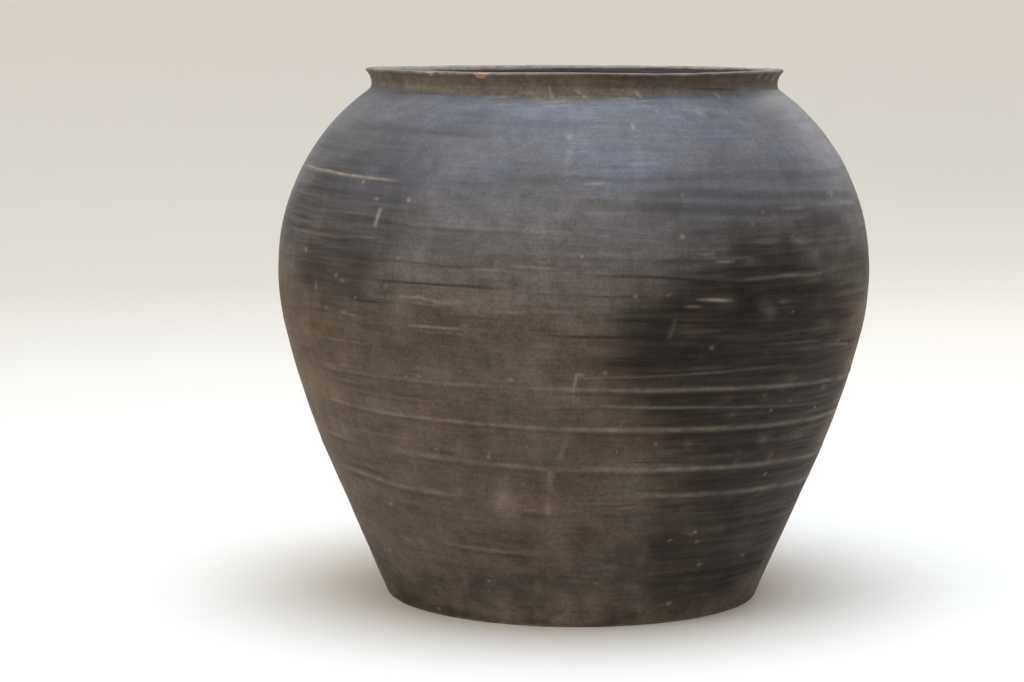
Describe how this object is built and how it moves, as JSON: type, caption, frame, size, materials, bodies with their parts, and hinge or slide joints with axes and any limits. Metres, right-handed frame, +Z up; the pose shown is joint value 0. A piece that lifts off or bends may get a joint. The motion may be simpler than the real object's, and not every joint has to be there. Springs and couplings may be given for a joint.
{
  "type": "clay jar",
  "caption": "Round-bellied hand-built clay jar with a small flat foot, a short neck and a flared lip, open at the top, for storing things or standing as decoration.",
  "frame": {"origin": "centre of the flat underside", "axes": "+Z up the jar's axis, from the foot to the mouth; the jar is round about it, and -Y is the side seen from the front"},
  "size_m": [0.48, 0.48, 0.427],
  "materials": {
    "smoked_clay": "matte smoked clay, faintly burnished in level bands",
    "collar_clay": "matte brown clay, unburnished"
  },
  "bodies": {
    "root": {"base_slab": "smoked_clay", "wall_course_01": "smoked_clay", "wall_course_02": "smoked_clay", "wall_course_03": "smoked_clay", "wall_course_04": "smoked_clay", "wall_course_05": "smoked_clay", "wall_course_06": "smoked_clay", "wall_course_07": "smoked_clay", "wall_course_08": "smoked_clay", "wall_course_09": "smoked_clay", "wall_course_10": "smoked_clay", "wall_course_11": "smoked_clay", "rim_collar": "collar_clay"}
  },
  "joints": []
}
